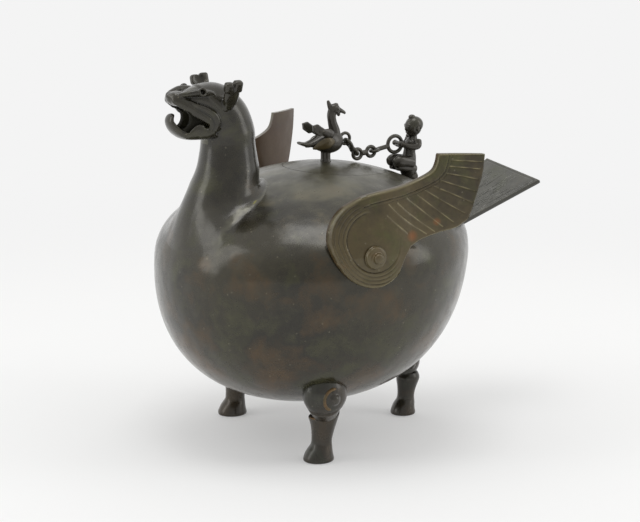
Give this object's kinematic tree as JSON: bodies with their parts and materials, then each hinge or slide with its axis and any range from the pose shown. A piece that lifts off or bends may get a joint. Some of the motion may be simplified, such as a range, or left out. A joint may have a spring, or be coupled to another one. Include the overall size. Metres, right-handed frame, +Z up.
{
  "type": "bird-shaped ritual wine vessel",
  "caption": "Round-bodied bronze bird on three legs that pours wine through its open beak, with spread wings, a flat tail and a flush lid chained to a small kneeling figure.",
  "frame": {"origin": "bottom centre of the whole vessel's box, on the ground", "axes": "+Z up, the bird faces +X, its left wing is on +Y"},
  "size_m": [0.2858, 0.2546, 0.2562],
  "materials": {
    "body_bronze": "dark grey-brown bronze patina, half gloss",
    "wing_bronze": "olive-brown bronze patina with pale engraved lines",
    "tail_bronze": "greyer bronze patina with engraved lines",
    "leg_bronze": "very dark bronze patina",
    "figure_bronze": "very dark bronze patina, worn on the raised parts",
    "chain_bronze": "dark bronze wire"
  },
  "bodies": {
    "vessel": {"belly": "body_bronze", "neck": "body_bronze", "head": "body_bronze", "figure": "figure_bronze", "left_wing": "wing_bronze", "left_wing_rivet": "wing_bronze", "right_wing": "wing_bronze", "right_wing_rivet": "wing_bronze", "tail": "tail_bronze", "front_left_thigh": "leg_bronze", "front_left_shank": "leg_bronze", "front_right_thigh": "leg_bronze", "front_right_shank": "leg_bronze", "rear_thigh": "leg_bronze", "rear_shank": "leg_bronze"},
    "lid": {"lid": "body_bronze", "lid_bird": "figure_bronze"},
    "bird_link": {"chain_link_bird": "chain_bronze"},
    "middle_link": {"chain_link_middle": "chain_bronze"},
    "figure_link": {"chain_link_figure": "chain_bronze"}
  },
  "joints": [
    {"name": "lid_lift", "type": "slide", "parent": "vessel", "child": "lid", "axis": [0, 0, 1], "range_m": [0, 0.014]},
    {"name": "bird_link_swing", "type": "hinge", "parent": "lid", "child": "bird_link", "pos_m": [0.00404, 0, 0.20611], "axis": [0, -1, 0], "range_deg": [-1.78, 0]},
    {"name": "middle_link_swing", "type": "hinge", "parent": "bird_link", "child": "middle_link", "pos_m": [-0.00461, 0, 0.19523], "axis": [0, -1, 0], "range_deg": [0, 24.1]},
    {"name": "figure_link_swing", "type": "hinge", "parent": "vessel", "child": "figure_link", "pos_m": [-0.03891, 0, 0.20027], "axis": [0, -1, 0], "range_deg": [0, 24.4]}
  ],
  "couplings": [
    {"joint": "bird_link_swing", "follows": "lid_lift", "rad_per_m": -2.2},
    {"joint": "middle_link_swing", "follows": "lid_lift", "rad_per_m": 29.9},
    {"joint": "figure_link_swing", "follows": "lid_lift", "rad_per_m": 30.32}
  ]
}
